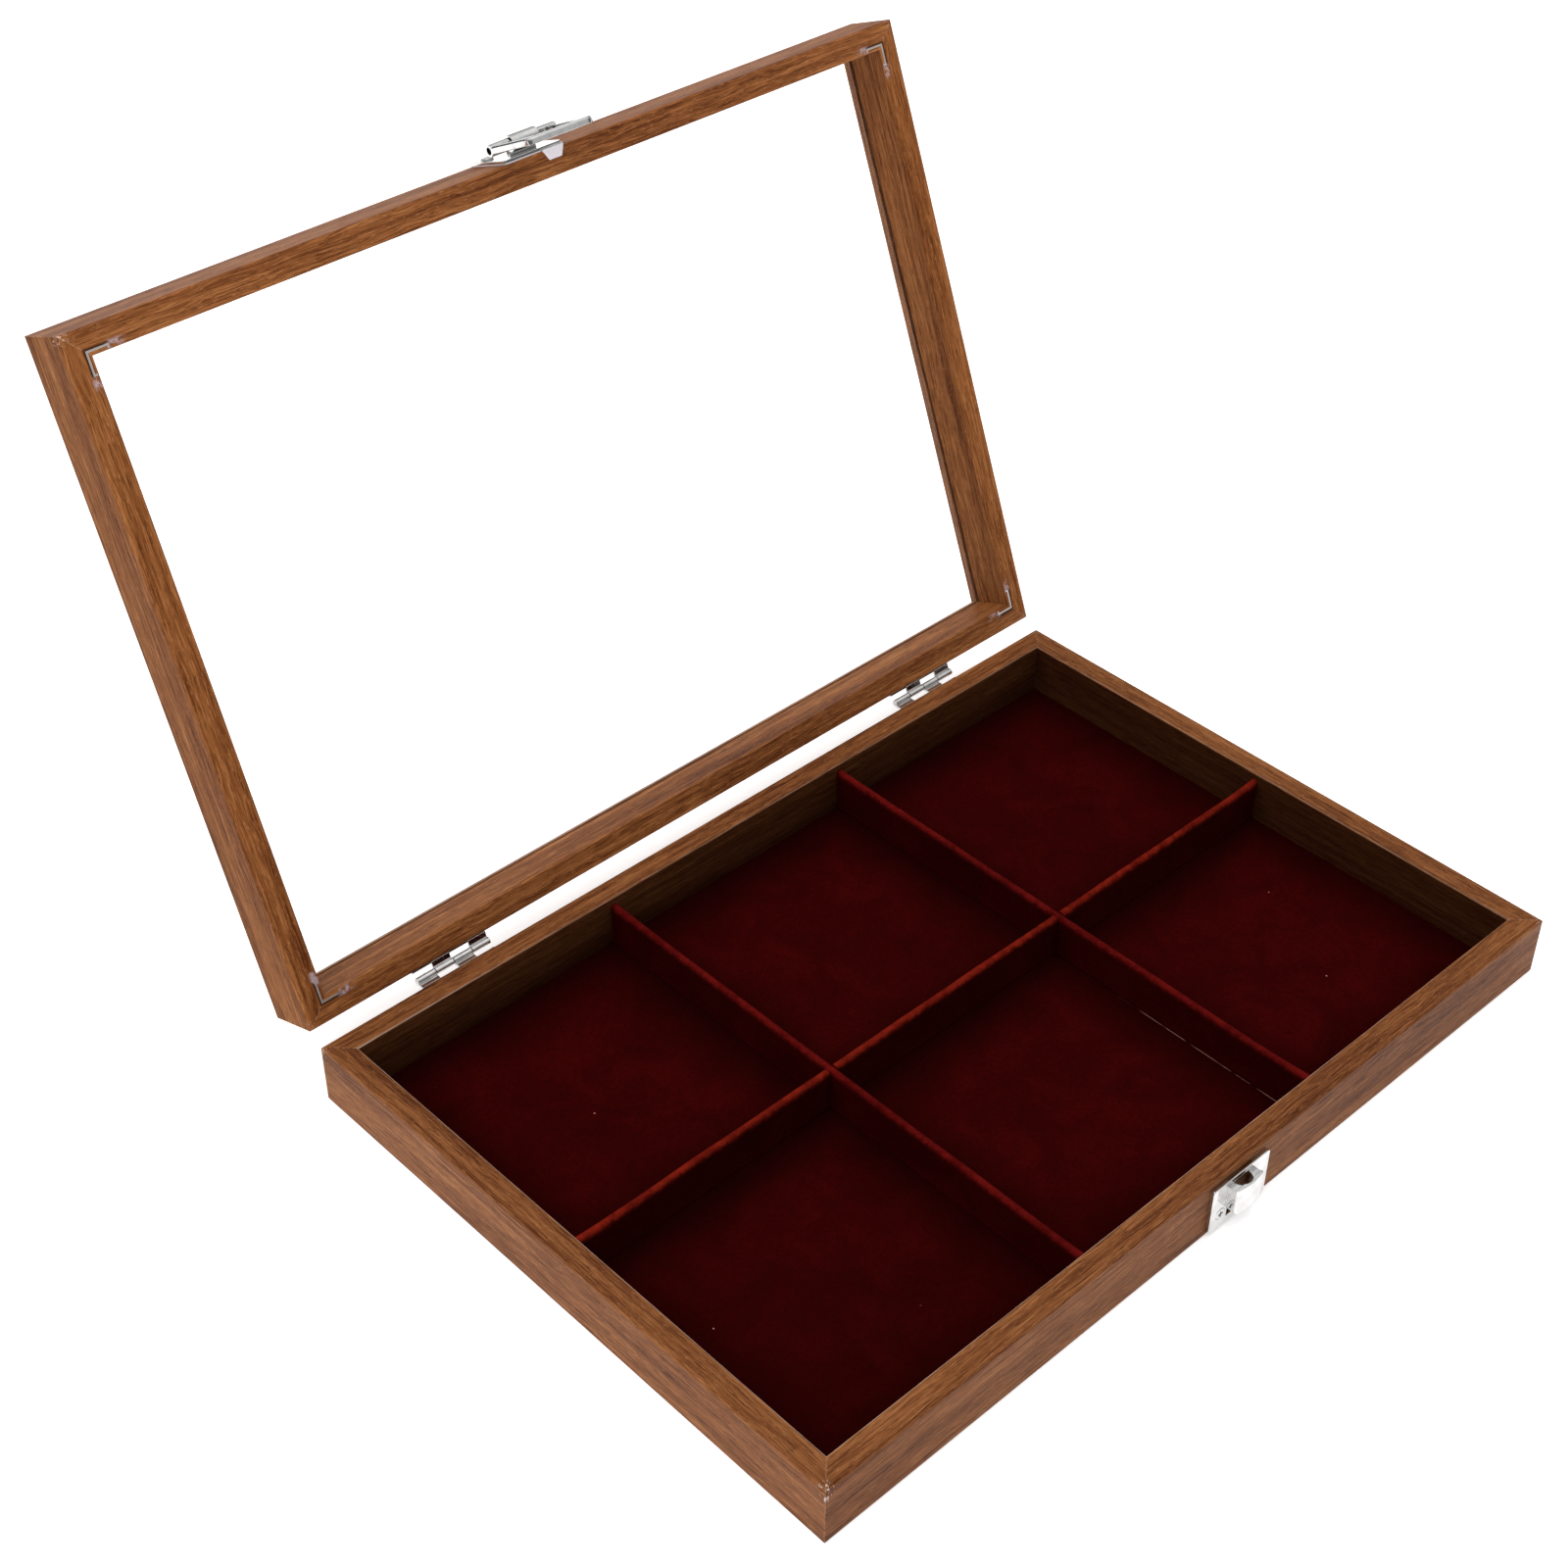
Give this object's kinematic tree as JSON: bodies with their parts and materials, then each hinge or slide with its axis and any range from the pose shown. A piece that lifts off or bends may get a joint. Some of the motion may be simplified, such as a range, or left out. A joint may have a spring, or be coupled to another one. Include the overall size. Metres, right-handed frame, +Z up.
{
  "type": "coin display tray",
  "caption": "Shallow wooden display tray with velvet-lined compartments and a glazed lid on butt hinges, held shut by a bail latch.",
  "frame": {"origin": "middle of the tray's flat underside, on the surface it stands on", "axes": "+Z up, +X to the right seen from the latch side, +Y towards the hinges; the lid stands open"},
  "size_m": [0.35, 0.3598, 0.266],
  "materials": {
    "walnut": "satin walnut-grain film over wood",
    "board": "plain matt board",
    "velvet": "deep burgundy velvet",
    "glass": "clear float glass",
    "nickel": "bright nickel plate",
    "steel": "bright zinc-plated steel"
  },
  "bodies": {
    "tray": {"base_rail_front": "walnut", "base_rail_back": "walnut", "base_rail_left": "walnut", "base_rail_right": "walnut", "base_corner_vnails": "steel", "bottom_panel": "board", "floor_pad": "velvet", "long_divider": "velvet", "cross_divider_left": "velvet", "cross_divider_right": "velvet", "base_hinge_screws": "steel", "hinge_left_base_leaf": "nickel", "hinge_right_base_leaf": "nickel", "hinge_left_pin": "steel", "hinge_right_pin": "steel", "latch_catch_plate": "nickel", "latch_catch_screws": "steel"},
    "lid": {"lid_rail_front": "walnut", "lid_rail_back": "walnut", "lid_rail_left": "walnut", "lid_rail_right": "walnut", "lid_bead_front": "walnut", "lid_bead_back": "walnut", "lid_bead_left": "walnut", "lid_bead_right": "walnut", "lid_glass": "glass", "lid_corner_clips": "steel", "hinge_left_lid_leaf": "nickel", "hinge_right_lid_leaf": "nickel", "lid_hinge_screws": "steel", "latch_hasp_plate": "nickel", "latch_hasp_screws": "steel"},
    "bail": {"latch_bail": "nickel", "latch_bail_pin": "steel"}
  },
  "joints": [
    {"name": "lid_hinge", "type": "hinge", "parent": "tray", "child": "lid", "pos_m": [0, 0.1235, 0.0242], "axis": [1, 0, 0], "range_deg": [0, 111.4]},
    {"name": "bail_hinge", "type": "hinge", "parent": "lid", "child": "bail", "pos_m": [0.007, 0.21935, 0.25397], "axis": [-1, 0, 0], "range_deg": [-10, 100]}
  ]
}
